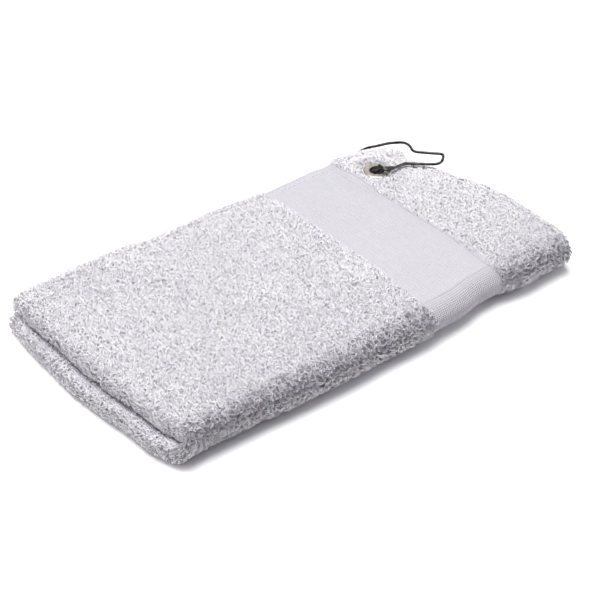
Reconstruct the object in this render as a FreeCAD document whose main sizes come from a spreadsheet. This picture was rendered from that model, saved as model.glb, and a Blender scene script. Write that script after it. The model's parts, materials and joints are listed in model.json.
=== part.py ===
"""Golf towel, folded in four, with a corner eyelet and a sprung wire clip.

The cloth is folded crosswise and then lengthwise, so four layers lie on each other.
The top and second layers are the upper leaf, which opens like a book cover about the
long fold.  The third and bottom layers are the lower leaf, which stays down.
Row frame: millimetres, +X from the end rolls to the hemmed ends, +Y from the long fold
to the side hems, +Z up, origin under the middle of the folded towel.
"""
import FreeCAD, Part
import Sketcher
import math
import os

V = FreeCAD.Vector

DIMENSIONS = {
    # folded stack
    "layer_thick": 4.1,
    "wire_gap": 2.2,
    "leaf_gap": 0.3,
    "joint_gap": 0.3,
    "left_x": -126.0,
    "right_x": 126.0,
    "near_y": -66.5,
    "far_y": 71.0,
    "lower_roll_reach": 6.0,
    # woven border, hems and sewing thread
    "border_left": 26.0,
    "border_right": 73.0,
    "border_sink": 0.5,
    "hem_width": 7.0,
    "hem_sink": 0.4,
    "thread_radius": 0.2,
    # outline of the hemmed ends, from the knee round to the side
    "knee_y": -20.0,
    "hip_y": 50.0,
    "corner_y": 66.0,
    "top_hip_x": 106.0,
    "top_corner_x": 101.0,
    "top_side_x": 90.0,
    "rest_hip_x": 115.0,
    "rest_corner_x": 113.0,
    "rest_side_x": 104.0,
    # eyelet
    "eyelet_x": 85.4,
    "eyelet_y": 43.5,
    "eyelet_bore": 4.0,
    "eyelet_wall": 0.4,
    "eyelet_flange": 7.2,
    "flange_thick": 0.5,
    "pinched_cloth": 1.6,
    "dimple_radius": 9.5,
    # clip, all in its own plane: along the neck and across it from the bulb's centre
    "clip_angle": -53.0,
    "wire_radius": 0.8,
    "bulb_radius": 16.0,
    "neck_half": 5.8,
    "neck_reach": 33.0,
    "wire_clearance": 0.3,
}

doc = FreeCAD.newDocument("GolfTowel")
sheet = doc.addObject("Spreadsheet::Sheet", "Dims")
for line, (alias, value) in enumerate(DIMENSIONS.items(), start=1):
    sheet.set(f"A{line}", alias)
    sheet.set(f"B{line}", str(value))
    sheet.setAlias(f"B{line}", alias)
doc.recompute()

# Heights and places that follow from the sheet, as expressions.
FOLD_RADIUS = "(2 * Dims.layer_thick + Dims.wire_gap + Dims.leaf_gap / 2)"
INNER_FOLD_RADIUS = "(Dims.layer_thick + Dims.leaf_gap / 2)"
ROLL_RADIUS = "(Dims.layer_thick + Dims.wire_gap / 2)"
FOLD_Y = f"(Dims.near_y + {FOLD_RADIUS})"
SIDE_HEM_Y = "(Dims.far_y - Dims.hem_width)"
END_HEM_X = "(Dims.right_x - Dims.hem_width)"
UPPER_ROLL_X = f"(Dims.left_x + {ROLL_RADIUS})"
LOWER_ROLL_X = f"({UPPER_ROLL_X} - Dims.lower_roll_reach)"
FOLD_LEFT_X = f"({UPPER_ROLL_X} - Dims.lower_roll_reach / 2)"
BOTTOM_Z = "0"
THIRD_Z = "(Dims.layer_thick + Dims.wire_gap)"
SECOND_Z = "(2 * Dims.layer_thick + Dims.wire_gap + Dims.leaf_gap)"
TOP_Z = "(3 * Dims.layer_thick + 2 * Dims.wire_gap + Dims.leaf_gap)"
WIRE_UNDER_Z = f"({TOP_Z} - Dims.wire_gap / 2)"
WIRE_OVER_Z = f"({TOP_Z} + Dims.layer_thick + Dims.wire_clearance + Dims.wire_radius)"
PINCH_Z = f"({TOP_Z} + Dims.layer_thick / 2 - Dims.pinched_cloth / 2)"

parts = []


def number(expression):
    """Value of an expression over the sheet, in millimetres or degrees."""
    value = sheet.evalExpression(str(expression))
    return float(getattr(value, "Value", value))


def place(obj, x="0", y="0", z="0", rotation=None):
    """Bind an object's position to the sheet and give it a fixed orientation."""
    obj.Placement = FreeCAD.Placement(V(0, 0, 0), rotation or FreeCAD.Rotation())
    for axis, expression in zip("xyz", (x, y, z)):
        obj.setExpression(f"Placement.Base.{axis}", expression)


# ---------------------------------------------------------------- sketch helpers
def new_body(name):
    body = doc.addObject("PartDesign::Body", name)
    body.Label = name
    parts.append(body)
    return body


def new_sketch(body, name, role="XY_Plane"):
    sketch = body.newObject("Sketcher::SketchObject", name)
    plane = next(item for item in body.Origin.OriginFeatures if item.Role == role)
    sketch.AttachmentSupport = (plane, "")
    sketch.MapMode = "FlatFace"
    return sketch


def draw_outline(sketch, corners):
    """Closed polygon whose corners are pairs of expressions, fully constrained."""
    points = [V(number(x), number(y), 0) for x, y in corners]
    count = len(points)
    for index in range(count):
        sketch.addGeometry(Part.LineSegment(points[index], points[(index + 1) % count]))
    for index in range(count):
        sketch.addConstraint(Sketcher.Constraint("Coincident", index, 2, (index + 1) % count, 1))
    for index, pair in enumerate(corners):
        for kind, expression in zip(("DistanceX", "DistanceY"), pair):
            rule = Sketcher.Constraint(kind, -1, 1, index, 1, number(expression))
            position = sketch.addConstraint(rule)
            sketch.setExpression(f"Constraints[{position}]", expression)


def draw_circle(sketch, x, y, radius):
    sketch.addGeometry(Part.Circle(V(number(x), number(y), 0), V(0, 0, 1), number(radius)))
    rules = [("DistanceX", x, (-1, 1, 0, 3)), ("DistanceY", y, (-1, 1, 0, 3)), ("Radius", radius, (0,))]
    for kind, expression, ends in rules:
        position = sketch.addConstraint(Sketcher.Constraint(kind, *ends, number(expression)))
        sketch.setExpression(f"Constraints[{position}]", expression)


def cloth_panel(name, corners, low_z, sink="0"):
    """Flat piece of one layer; sink is how much thinner it is on each face."""
    body = new_body(name)
    sketch = new_sketch(body, name + "_outline")
    draw_outline(sketch, corners)
    pad = body.newObject("PartDesign::Pad", name + "_pad")
    pad.Profile = sketch
    pad.setExpression("Length", f"Dims.layer_thick - 2 * {sink}")
    place(body, z=f"{low_z} + {sink}")
    return body


def round_pocket(body, name, radius, top_z, depth):
    """Round recess at the eyelet's centre, sunk from top_z of the body downwards."""
    sketch = new_sketch(body, name + "_circle")
    draw_circle(sketch, "Dims.eyelet_x", "Dims.eyelet_y", radius)
    sketch.setExpression("AttachmentOffset.Base.z", top_z)
    pocket = body.newObject("PartDesign::Pocket", name)
    pocket.Profile = sketch
    pocket.setExpression("Length", depth)
    return pocket


# ---------------------------------------------------------------- cloth layers
def end_outline(prefix):
    """Outer and inner lines of the end hem, from the long fold to the side."""
    hip = f"Dims.{prefix}_hip_x"
    corner = f"Dims.{prefix}_corner_x"
    outer = [("Dims.right_x", "Dims.knee_y"), (hip, "Dims.hip_y"), (corner, "Dims.corner_y")]
    inner = [
        (END_HEM_X, "Dims.knee_y"),
        (f"({hip} - Dims.hem_width)", "Dims.hip_y"),
        (f"({corner} - Dims.hem_width)", SIDE_HEM_Y),
    ]
    return outer, inner


def cloth_layer(layer, low_z, prefix, left_x, near_y):
    """Terry field, woven border, terry end strip and two hems of one folded layer."""
    outer, inner = end_outline(prefix)
    side_x = f"Dims.{prefix}_side_x"
    spans = {"terry": (left_x, "Dims.border_left"), "border": ("Dims.border_left", "Dims.border_right")}
    for zone, (start, stop) in spans.items():
        corners = [(start, near_y), (stop, near_y), (stop, SIDE_HEM_Y), (start, SIDE_HEM_Y)]
        cloth_panel(f"{layer}_{zone}", corners, low_z, "Dims.border_sink" if zone == "border" else "0")
    strip = [("Dims.border_right", near_y), (END_HEM_X, near_y)] + inner + [("Dims.border_right", SIDE_HEM_Y)]
    strip_body = cloth_panel(f"{layer}_end_strip", strip, low_z)
    end_hem = [("Dims.right_x", near_y)] + outer + inner[::-1] + [(END_HEM_X, near_y)]
    cloth_panel(f"{layer}_end_hem", end_hem, low_z, "Dims.hem_sink")
    side_hem = [(left_x, SIDE_HEM_Y), inner[-1], outer[-1], (side_x, "Dims.far_y"), (left_x, "Dims.far_y")]
    cloth_panel(f"{layer}_side_hem", side_hem, low_z, "Dims.hem_sink")
    return strip_body


def eyelet_seat(strip):
    """Hole for the eyelet's barrel and the dimples where the cloth is pinched."""
    depth = "(Dims.layer_thick - Dims.pinched_cloth) / 2"
    barrel = "Dims.eyelet_bore + Dims.eyelet_wall"
    round_pocket(strip, "upper_dimple", "Dims.dimple_radius", "Dims.layer_thick", depth)
    round_pocket(strip, "lower_dimple", "Dims.dimple_radius", depth, depth)
    round_pocket(strip, "barrel_hole", barrel, "Dims.layer_thick", "Dims.layer_thick")


# ---------------------------------------------------------------- folds
ALONG_X = FreeCAD.Rotation(V(0, 0, 1), V(0, -1, 0), V(1, 0, 0), "XYZ")
ALONG_Y = FreeCAD.Rotation(V(0, 0, -1), V(-1, 0, 0), V(0, 1, 0), "XYZ")


def half_cylinder(name, radius, length):
    shape = doc.addObject("Part::Cylinder", name)
    shape.Angle = 180
    shape.setExpression("Radius", radius)
    shape.setExpression("Height", length)
    return shape


def half_tube(name, outer, inner, length, base, rotation):
    """Half of a tube: one bend of the cloth round a fold."""
    tube = doc.addObject("Part::Cut", name)
    tube.Label = name
    tube.Base = half_cylinder(name + "_outside", outer, length)
    tube.Tool = half_cylinder(name + "_inside", inner, length)
    place(tube, *base, rotation)
    parts.append(tube)


def fold_zones():
    """Start, stop and sink of each stretch of cloth along the long fold."""
    return {
        "terry": (FOLD_LEFT_X, "Dims.border_left", "0"),
        "border": ("Dims.border_left", "Dims.border_right", "Dims.border_sink"),
        "end_strip": ("Dims.border_right", END_HEM_X, "0"),
        "end_hem": (END_HEM_X, "Dims.right_x", "Dims.hem_sink"),
    }


def long_fold():
    """The outer cloth bends round from the bottom layer to the top, the inner inside it."""
    wraps = {"outer": FOLD_RADIUS, "inner": INNER_FOLD_RADIUS}
    for wrap, radius in wraps.items():
        for zone, (start, stop, sink) in fold_zones().items():
            outside = f"{radius} - {sink}"
            inside = f"{radius} - Dims.layer_thick + {sink}"
            base = (start, FOLD_Y, FOLD_RADIUS)
            half_tube(f"{wrap}_fold_{zone}", outside, inside, f"{stop} - {start}", base, ALONG_X)


def end_roll(name, centre_x, centre_z, near_y):
    """Crosswise fold at the left end, joining the two layers of one leaf."""
    length = f"Dims.far_y - {near_y}"
    half_tube(name, ROLL_RADIUS, "Dims.wire_gap / 2", length, (centre_x, near_y, centre_z), ALONG_Y)


def partial_torus(name, section):
    ring = doc.addObject("Part::Torus", name)
    ring.Angle3 = 180
    ring.setExpression("Radius1", f"{FOLD_RADIUS} - {ROLL_RADIUS}")
    ring.setExpression("Radius2", section)
    return ring


def fold_corner_roll():
    """Where the end rolls run into the long fold: the roll itself turns round the fold."""
    ring = doc.addObject("Part::Cut", "corner_ring")
    ring.Base = partial_torus("corner_outside", ROLL_RADIUS)
    ring.Tool = partial_torus("corner_inside", "Dims.wire_gap / 2")
    block = doc.addObject("Part::Box", "corner_block")
    for side in ("Length", "Width"):
        block.setExpression(side, f"4 * {FOLD_RADIUS}")
    block.setExpression("Height", ROLL_RADIUS)
    place(block, f"-2 * {FOLD_RADIUS}", f"-2 * {FOLD_RADIUS}", f"-{ROLL_RADIUS}")
    roll = doc.addObject("Part::Common", "fold_corner_roll")
    roll.Label = "fold_corner_roll"
    roll.Base = ring
    roll.Tool = block
    place(roll, FOLD_LEFT_X, FOLD_Y, FOLD_RADIUS, ALONG_X)
    parts.append(roll)


# ---------------------------------------------------------------- sewing thread
def thread_run(points, radius):
    """Sewn rows as round runs of thread between points, one solid for each run."""
    runs = []
    for start, stop in zip(points, points[1:]):
        along = stop - start
        runs.append(Part.makeCylinder(radius, along.Length, start, along))
    return runs


def stitching(name, rows, near_y, left_x):
    """Thread along the middle of the end hem and the side hem of each layer in rows."""
    radius = number("Dims.thread_radius")
    half_hem = number("Dims.hem_width") / 2
    runs = []
    for prefix, height in rows:
        outer, _ = end_outline(prefix)
        corners = [V(number(x) - half_hem, number(y), height) for x, y in outer[:2]]
        start = V(number("Dims.right_x") - half_hem, number(near_y), height)
        runs += thread_run([start, corners[0]], radius)
        runs += thread_run([corners[0] + V(-0.3, 2 * radius, 0), corners[1]], radius)
        side_y = number("Dims.far_y") - half_hem
        side = [V(number(left_x), side_y, height), V(number(f"Dims.{prefix}_side_x"), side_y, height)]
        runs += thread_run(side, radius)
    add_feature(name, Part.makeCompound(runs))


def add_feature(name, shape):
    feature = doc.addObject("Part::Feature", name)
    feature.Label = name
    feature.Shape = shape
    feature.Placement = FreeCAD.Placement()
    parts.append(feature)


# ---------------------------------------------------------------- eyelet
def revolved_ring(name, corners, z):
    """Ring turned about the eyelet's axis from a profile of (radius, height) corners."""
    body = new_body(name)
    sketch = new_sketch(body, name + "_profile", "XZ_Plane")
    draw_outline(sketch, corners)
    turn = body.newObject("PartDesign::Revolution", name + "_turn")
    turn.Profile = sketch
    turn.ReferenceAxis = (sketch, ["V_Axis"])
    turn.Angle = 360
    place(body, "Dims.eyelet_x", "Dims.eyelet_y", z)


def eyelet():
    """Barrel with its flange on top of the cloth, rolled over a washer underneath."""
    bore = "Dims.eyelet_bore"
    barrel = "(Dims.eyelet_bore + Dims.eyelet_wall)"
    lip = "(Dims.eyelet_bore + 3 * Dims.eyelet_wall)"
    flange = "Dims.eyelet_flange"
    plate = "Dims.flange_thick"
    cloth = "Dims.pinched_cloth"
    barrel_profile = [
        (bore, f"-{plate} - Dims.eyelet_wall"),
        (lip, f"-{plate} - Dims.eyelet_wall"),
        (lip, f"-{plate}"),
        (barrel, f"-{plate}"),
        (barrel, cloth),
        (flange, cloth),
        (flange, f"{cloth} + {plate} / 2"),
        (f"{flange} - {plate}", f"{cloth} + {plate}"),
        (f"{bore} + {plate} / 2", f"{cloth} + {plate}"),
        (bore, f"{cloth} + {plate} / 2"),
    ]
    revolved_ring("eyelet", barrel_profile, PINCH_Z)
    washer_profile = [
        (barrel, f"-{plate}"),
        (f"{flange} - {plate} / 2", f"-{plate}"),
        (flange, f"-{plate} / 2"),
        (flange, "0"),
        (barrel, "0"),
    ]
    revolved_ring("eyelet_washer", washer_profile, PINCH_Z)


# ---------------------------------------------------------------- clip
THREAD_ANGLE = 267.0
LATCH_ANGLE = 297.0
NECK_ANGLE = 22.0


def clip_point(along, across, height):
    """Point in the row frame from the clip's own plane; the eyelet's axis fixes the bulb."""
    heading = math.radians(number("Dims.clip_angle"))
    neck = V(math.cos(heading), math.sin(heading), 0)
    side = V(-math.sin(heading), math.cos(heading), 0)
    turn = math.radians(THREAD_ANGLE)
    radius = number("Dims.bulb_radius")
    axis = V(number("Dims.eyelet_x"), number("Dims.eyelet_y"), 0)
    centre = axis - (neck * math.cos(turn) + side * math.sin(turn)) * radius
    return centre + neck * along + side * across + V(0, 0, height)


def bulb_point(degrees, radius, height):
    turn = math.radians(degrees)
    return clip_point(radius * math.cos(turn), radius * math.sin(turn), height)


def ramp(value, start, stop, low, high):
    """Height that goes evenly from low at start to high at stop and is level outside."""
    share = min(1.0, max(0.0, (value - start) / (stop - start)))
    return low + (high - low) * share


def bent_wire(points, radius):
    """Round wire along straight runs joined by tangent arcs."""
    edges = []
    last = points[0]
    for before, corner, after in zip(points, points[1:], points[2:]):
        back = before - corner
        ahead = after - corner
        reach = 0.49 * min(back.Length, ahead.Length)
        back.normalize()
        ahead.normalize()
        entry = corner + back * reach
        leave = corner + ahead * reach
        half_turn = (math.pi - back.getAngle(ahead)) / 2
        bisector = (back + ahead).normalize()
        bend = reach / math.tan(half_turn)
        middle = corner + bisector * (bend / math.cos(half_turn) - bend)
        edges.append(Part.LineSegment(last, entry).toShape())
        edges.append(Part.Arc(entry, middle, leave).toShape())
        last = leave
    edges.append(Part.LineSegment(last, points[-1]).toShape())
    path = Part.Wire(edges)
    start = points[0]
    section = Part.Wire(Part.makeCircle(radius, start, points[1] - start))
    wire = path.makePipeShell([section], True, False)
    expected = path.Length * math.pi * radius ** 2
    assert abs(wire.Volume / expected - 1) < 0.03, "wire volume is off"
    return wire


def clip_frame():
    """Fixed wire: latch end, up through the eyelet, round the bulb and along the neck."""
    bulb = number("Dims.bulb_radius")
    half = number("Dims.neck_half")
    turn_x = number("Dims.neck_reach") - half
    under = number(WIRE_UNDER_Z)
    over = number(WIRE_OVER_Z)
    points = [bulb_point(LATCH_ANGLE, bulb, over)]
    for degrees in (289, 281, 274, 260, 253, 240, 222, 204, 186, 168, 150, 132, 114, 96, 78, 60, 42):
        if degrees > 200:
            height = ramp(degrees, 255, 279, under, over)
        else:
            height = ramp(degrees, 120, 40, under, over)
        points.append(bulb_point(degrees, bulb, height))
    points.append(bulb_point(NECK_ANGLE, bulb, over))
    points.append(clip_point(bulb + 2, half, over))
    for degrees in (80, 45, 10, -25, -60):
        angle = math.radians(degrees)
        points.append(clip_point(turn_x + half * math.cos(angle), half * math.sin(angle), over))
    points.append(clip_point(turn_x, -half, over))
    add_feature("clip_frame", bent_wire(points, number("Dims.wire_radius")))


def clip_gate():
    """Sprung arm of the same wire: neck leg and the stretch back to the latch."""
    radius = number("Dims.wire_radius")
    gap = number("Dims.wire_clearance")
    bulb = number("Dims.bulb_radius") - 2 * radius - gap
    half = number("Dims.neck_half")
    turn_x = number("Dims.neck_reach") - half
    over = number(WIRE_OVER_Z)
    points = [
        clip_point(turn_x - gap - 0.1, -half, over),
        clip_point(bulb + 6, -half, over),
        clip_point(bulb - 1, -half - 0.6, over),
        bulb_point(300, bulb - 0.6, over),
        bulb_point(287, bulb - 0.2, over),
    ]
    add_feature("clip_gate", bent_wire(points, radius))


# ---------------------------------------------------------------- assembly and export
def build():
    upper_near = f"({FOLD_Y} + Dims.joint_gap)"
    cloth_layer("bottom", BOTTOM_Z, "rest", LOWER_ROLL_X, FOLD_Y)
    cloth_layer("third", THIRD_Z, "rest", LOWER_ROLL_X, FOLD_Y)
    cloth_layer("second", SECOND_Z, "rest", UPPER_ROLL_X, upper_near)
    eyelet_seat(cloth_layer("top", TOP_Z, "top", UPPER_ROLL_X, upper_near))
    long_fold()
    fold_corner_roll()
    end_roll("lower_end_roll", LOWER_ROLL_X, ROLL_RADIUS, FOLD_Y)
    end_roll("upper_end_roll", UPPER_ROLL_X, f"{SECOND_Z} + {ROLL_RADIUS}", upper_near)

    sink = number("Dims.hem_sink")
    thread = number("Dims.thread_radius")
    thick = number("Dims.layer_thick")
    lower_rows = [("rest", sink - thread), ("rest", number(THIRD_Z) + thick - sink + thread)]
    stitching("lower_stitching", lower_rows, FOLD_Y, LOWER_ROLL_X)
    upper_rows = [("rest", number(SECOND_Z) + sink - thread), ("top", number(TOP_Z) + thick - sink + thread)]
    stitching("upper_stitching", upper_rows, upper_near, UPPER_ROLL_X)

    eyelet()
    clip_frame()
    clip_gate()


def write_parts():
    doc.recompute()
    for obj in doc.Objects:
        faults = [state for state in obj.State if state in ("Invalid", "Error")]
        assert not faults, f"{obj.Name}: {faults}"
    os.makedirs("parts", exist_ok=True)
    for obj in parts:
        shape = obj.Shape
        assert not shape.isNull() and shape.isValid(), f"{obj.Label} has a bad shape"
        shape.exportStep(f"parts/{obj.Label}.step")
        print(f"{obj.Label}: {len(shape.Solids)} solid(s), {shape.Volume:.1f} mm3")


build()
write_parts()
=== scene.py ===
"""Golf towel folded in four: terry cloth, woven border, hems, eyelet and wire clip."""
import json
import math

import bpy
import numpy as np
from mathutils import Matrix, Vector


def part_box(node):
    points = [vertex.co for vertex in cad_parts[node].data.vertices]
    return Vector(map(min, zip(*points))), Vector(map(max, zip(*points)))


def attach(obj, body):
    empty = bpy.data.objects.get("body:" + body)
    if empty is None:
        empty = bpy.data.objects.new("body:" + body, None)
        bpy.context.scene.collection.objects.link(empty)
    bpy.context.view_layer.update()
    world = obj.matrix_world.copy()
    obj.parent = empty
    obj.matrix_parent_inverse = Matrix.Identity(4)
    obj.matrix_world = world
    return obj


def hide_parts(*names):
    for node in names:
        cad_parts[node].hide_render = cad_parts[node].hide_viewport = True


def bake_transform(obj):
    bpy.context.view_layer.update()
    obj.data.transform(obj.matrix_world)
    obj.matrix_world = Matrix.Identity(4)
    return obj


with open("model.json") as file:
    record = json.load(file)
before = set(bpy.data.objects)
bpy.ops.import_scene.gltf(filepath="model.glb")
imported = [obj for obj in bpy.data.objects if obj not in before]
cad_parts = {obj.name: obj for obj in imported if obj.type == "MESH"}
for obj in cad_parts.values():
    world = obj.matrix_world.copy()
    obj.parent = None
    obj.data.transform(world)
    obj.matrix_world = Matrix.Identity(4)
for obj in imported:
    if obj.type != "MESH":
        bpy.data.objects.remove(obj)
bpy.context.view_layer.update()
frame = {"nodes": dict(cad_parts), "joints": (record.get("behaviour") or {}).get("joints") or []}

MM = 0.001


def span(node):
    """Lowest and highest corner of a CAD node in millimetres."""
    low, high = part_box(node)
    return np.array(low) / MM, np.array(high) / MM


def joint_place(name):
    """Where a joint of the frame turns, in millimetres."""
    return np.array(next(j["pos_m"] for j in frame["joints"] if j["name"] == name)) / MM


# ---------------------------------------- places, from the frame
STACK = span("outer_fold_terry")[1][2]
FOLD_Y, FOLD_Z = joint_place("upper_leaf_open")[1:]
FAR_Y = span("bottom_side_hem")[1][1]
RIGHT_X = span("bottom_end_hem")[1][0]
BORDER_LEFT, BORDER_RIGHT = span("top_border")[0][0], span("top_border")[1][0]
HEM = span("bottom_side_hem")[1][1] - span("bottom_side_hem")[0][1]
SEWN = HEM - 1.6                 # from the free edges to the rows of stitches
EYELET = (span("eyelet")[0] + span("eyelet")[1]) / 2
PINCH_Z = joint_place("clip_swing")[2]

LAYER = STACK / 4
ROLL_R = LAYER / 2               # middle of the cloth round the crosswise fold
LEAF_R = STACK / 4               # middle of a leaf round the long fold
ROLL_ARC = math.pi * ROLL_R / 2  # cloth length over half of each fold
FOLD_ARC = math.pi * LEAF_R / 2
LEAF_WIDTH = FAR_Y - FOLD_Y
SEAM = FOLD_ARC + 1.0            # where the leaves' own cloth takes over from the fold's
V_MAX = FOLD_ARC + LEAF_WIDTH
UPPER_ROLL_X = span("upper_end_roll")[0][0] + 2 * ROLL_R
LOWER_ROLL_X = span("lower_end_roll")[0][0] + 2 * ROLL_R
UPPER, LOWER = 1, -1             # side of the long fold
OUTER, INNER = 1, -1             # side of the crosswise fold
GROUND = 1.3                     # woven ground of the terry, above the cloth's middle
BACK = -2.3                      # pressed pile on the side that lies on the next layer
BAND = 1.7                       # face of the woven border
FACE = 2.8                       # tips of the pile
EDGE = -0.4                      # where the cloth's two faces meet at a free edge
SUNK = 0.35                      # how deep the yarn loops' feet stand in the ground
ROOTS = GROUND - SUNK
INSET = 0.9                      # from the free edges to the feet of the last loops
SQUARENESS = 3.4                 # of the crosswise fold's outline; 2 would be a circle
ROLL_STRETCH = 1.13              # that outline's length, over the circle's
FOLD_STRETCH = 0.82              # extra length of the outer cloth round the long fold, for its weave
LEAF_LINES, LEAF_FINE = 68, 134  # grid lines across a leaf: for its cloth and hems, for its border
FOLD_LINES, FOLD_FINE = 57, 91   # the same across the long fold


def ease(x, low, high):
    """0 below low, 1 above high, smooth between."""
    t = np.clip((x - low) / (high - low), 0, 1)
    return t * t * (3 - 2 * t)


def round_edge(x):
    """0 at 0 and 1 from 1 on, as a rounded edge rises."""
    return np.sqrt(np.clip(1 - (1 - np.clip(x, 0, 1)) ** 2, 0, 1))


def ripples(x, y, wavelength, seed, waves=7):
    """Smooth unevenness from -1 to 1: a few sine waves in random directions."""
    dice = np.random.default_rng(seed)
    total = 0
    for _ in range(waves):
        heading = dice.uniform(0, 2 * math.pi)
        length = wavelength * dice.uniform(0.7, 1.5)
        phase = dice.uniform(0, 2 * math.pi)
        total = total + np.sin(2 * math.pi * (x * math.cos(heading) + y * math.sin(heading)) / length + phase)
    return total / waves * 1.6


# ---------------------------------------- how the flat cloth is folded
# u runs along the cloth from the crosswise fold, v across it from the long fold, and w is
# the height above the cloth's middle on the side that ends up outside the crosswise fold.
def roll_x(v):
    """Centre of the crosswise fold; the lower leaf's roll reaches further out."""
    return LOWER_ROLL_X + (UPPER_ROLL_X - LOWER_ROLL_X) * ease(v, -FOLD_ARC, FOLD_ARC)


def end_u(v):
    """Cloth length from the crosswise fold to the hemmed end."""
    return RIGHT_X - roll_x(v) + ROLL_ARC


def at_x(x, v):
    """How far along the cloth from the crosswise fold a place x is."""
    return x - roll_x(v) + ROLL_ARC


def roll_section(u):
    """Outline of the crosswise fold at unit size, a circle pressed square: reach and rise."""
    turn = np.clip(u / ROLL_R, -math.pi / 2, math.pi / 2)
    reach, rise = np.maximum(np.cos(turn), 0), np.sin(turn)
    size = (reach**SQUARENESS + np.abs(rise) ** SQUARENESS) ** (1 / SQUARENESS)
    return reach / size, rise / size


def nominal(u, v, w):
    """Cloth point folded neatly, before it sags and slips."""
    reach, rise = roll_section(u)
    flat = np.maximum(np.abs(u) - ROLL_ARC, 0)
    x = roll_x(v) - (ROLL_R + w) * reach + flat
    rise = (ROLL_R + w) * rise
    tilt = np.clip(v / LEAF_R, -math.pi / 2, math.pi / 2)
    y = FOLD_Y - (LEAF_R + rise) * np.cos(tilt) + np.maximum(np.abs(v) - FOLD_ARC, 0)
    z = FOLD_Z + (LEAF_R + rise) * np.sin(tilt)
    return x, y, z


def stretch(u, v, w):
    """True length per unit of u and of v, which grows round the folds."""
    rise = (ROLL_R + w) * roll_section(u)[1]
    along_u = np.where(np.abs(u) < ROLL_ARC, ROLL_STRETCH * (ROLL_R + w) / ROLL_R, 1)
    along_v = np.where(np.abs(v) < FOLD_ARC, np.maximum((LEAF_R + rise) / LEAF_R, 0.15), 1)
    return along_u, along_v


def on_band(x):
    """1 over the woven border, 0 away from it."""
    return ease(x, BORDER_LEFT - 5, BORDER_LEFT + 4) * (1 - ease(x, BORDER_RIGHT - 2, BORDER_RIGHT + 3))


def fold(u, v, w):
    """Cloth point as it really lies: soft outline, drawn-in edges, droop, pressed on the table."""
    x, y, z = nominal(u, v, w)
    upper = ease(v, -FOLD_ARC, FOLD_ARC)
    outside = ease(u, -ROLL_ARC, ROLL_ARC)
    top = outside * upper
    above_fold = np.maximum(z - FOLD_Z, 0) / (STACK - FOLD_Z)
    height = z / STACK + (above_fold - z / STACK) * ease(-y, 18, 54)
    far = ease(y, 15, 70)
    near = ease(-y, 25, 70)
    left = ease(-x, 50, 125)
    beyond = np.clip((x - 60) / (RIGHT_X - 60), 0, 1.05) ** 2
    band = on_band(x)

    # the hemmed end slants back towards the far corner, most of all in the top layer, and
    # its near corner is rounded
    ends = 2.2 - 1.5 * ease(-y, 30, 50) + 12 * ease(y, -25, 60)
    ends = ends + 5 * (top + (upper - top) * ease(y, 15, 50)) * ease(y, -25, 50)
    ends = ends + 5.5 * ease(-y, 52, 69)
    ends = ends - 2.8 * ease(y, 46, 55) + 3 * ease(y, 55, 65) + 12 * ease(y, 63, 75)
    # the crosswise fold is rounded at its near and far corners
    rounded = 0.4 + (4.4 - 3.4 * upper) * ease(y, 25, 76)
    rounded = rounded + 4.7 * ease(-y, -15, 45) + 3.9 * ease(-y, 40, 66)
    dx = left * rounded - ends * beyond
    dx = dx + 0.8 * ripples(y, z * 0.6, 34, 8) * (ease(-x, 105, 128) + ease(x, 108, 126))

    # the long fold is drawn in, most of all on the left, and less in the inner cloth
    pulled = -0.2 + 6 * (1 - ease(x, -140, -12)) + 2.4 * ease(x, 42, 60)
    pulled = pulled - 0.6 * ease(x, -10, 5) - 2.6 * ease(x, 72, 92)
    dy = near * (pulled * outside + np.clip(pulled, -0.2, 1.0) * (1 - outside))
    # the far edge bulges on the left and is drawn in on the right, with the upper leaf's corner
    dy = dy + far * (1.6 + 1.4 * ease(-x, 70, 126)) * (1 - ease(x, -20, 60))
    drawn_in = 3.6 * ease(x, -80, -10) + 1.2 * (ease(x, 56, 66) - ease(x, 70, 80))
    dy = dy - far * (drawn_in + 3 * upper * ease(x, 78, 100))
    dy = dy + 0.7 * ripples(x, z * 0.6, 42, 5) * (ease(-y, 50, 72) + ease(y, 55, 71))

    # the stack is lower along all four sides and under the border, and nowhere quite even
    droop = 0.5 * ease(y, 56, 72) + 1.2 * ease(x, 100, 126) + 0.8 * ease(-x, 105, 130)
    droop = droop + 3.4 * ease(-y, 18, 64) + 0.8 * ease(x, 92, 132) * ease(-y, 22, 60)
    uneven = 0.55 * ripples(x, y, 58, 3) + 0.3 * ripples(x, y, 26, 4) * (1 - 0.7 * band)
    dz = height * (uneven - droop - 0.9 * band)

    # the eyelet holds the cloth round it in place, pinched down into a seat
    off_eyelet = ease(np.hypot(x - EYELET[0], y - EYELET[1]), 9, 22)
    seat = top * (PINCH_Z - (STACK - LAYER / 2)) * (1 - off_eyelet)
    pressed = np.maximum(z + dz * off_eyelet + seat, 0)
    return np.stack([x + dx * off_eyelet, y + dy * off_eyelet, pressed], axis=-1)


# ---------------------------------------- materials
def material(name):
    mat = bpy.data.materials.new(name)
    mat.use_nodes = True
    tree = mat.node_tree
    return mat, tree, tree.nodes["Principled BSDF"]


def link(tree, source, target):
    tree.links.new(source, target)


def node(tree, kind, **settings):
    made = tree.nodes.new(kind)
    for key, value in settings.items():
        if key in made.inputs:
            made.inputs[key].default_value = value
        else:
            setattr(made, key, value)
    return made


def cloth_finish(shader, roughness=0.95, sheen=0.35):
    shader.inputs["Roughness"].default_value = roughness
    shader.inputs["Specular IOR Level"].default_value = 0.15
    shader.inputs["Sheen Weight"].default_value = sheen
    shader.inputs["Sheen Roughness"].default_value = 0.6
    shader.inputs["Sheen Tint"].default_value = (0.92, 0.93, 1.0, 1)


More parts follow.
